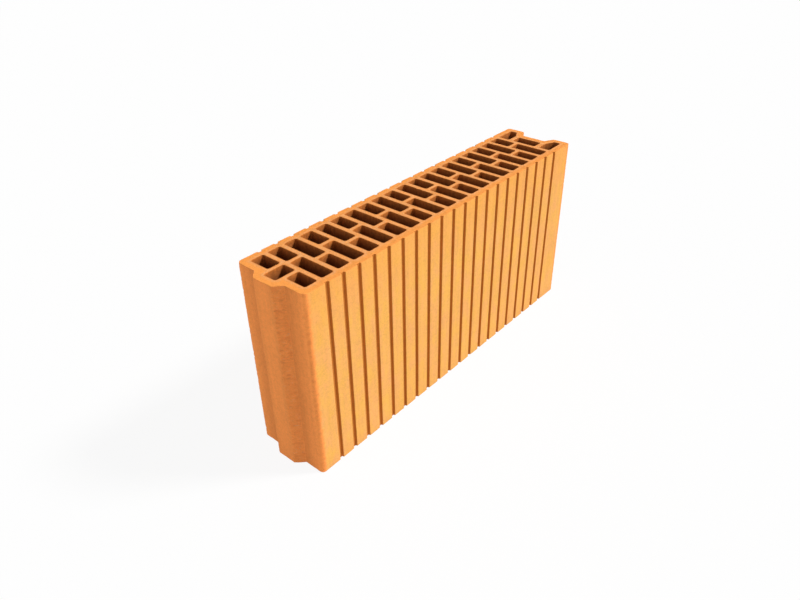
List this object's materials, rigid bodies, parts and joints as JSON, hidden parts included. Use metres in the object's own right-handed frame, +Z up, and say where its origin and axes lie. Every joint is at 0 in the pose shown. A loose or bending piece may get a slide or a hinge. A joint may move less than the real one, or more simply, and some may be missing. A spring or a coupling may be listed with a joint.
{
  "type": "hollow clay block",
  "caption": "Hollow fired-clay partition block with upright cells in a bonded pattern, keyed long faces, a tongue on one end and a groove in the other.",
  "frame": {"origin": "middle of the underside, halfway between the tongue's tip and the groove end's plane", "axes": "+X along the block from the tongue to the groove, +Y across the wall from the front face to the back face, +Z up along the cells"},
  "size_m": [0.5096, 0.1, 0.238],
  "materials": {
    "fired_clay": "dry unglazed orange brick clay with a fine sandy grain"
  },
  "bodies": {
    "root": {"clay_block": "fired_clay"}
  },
  "joints": []
}
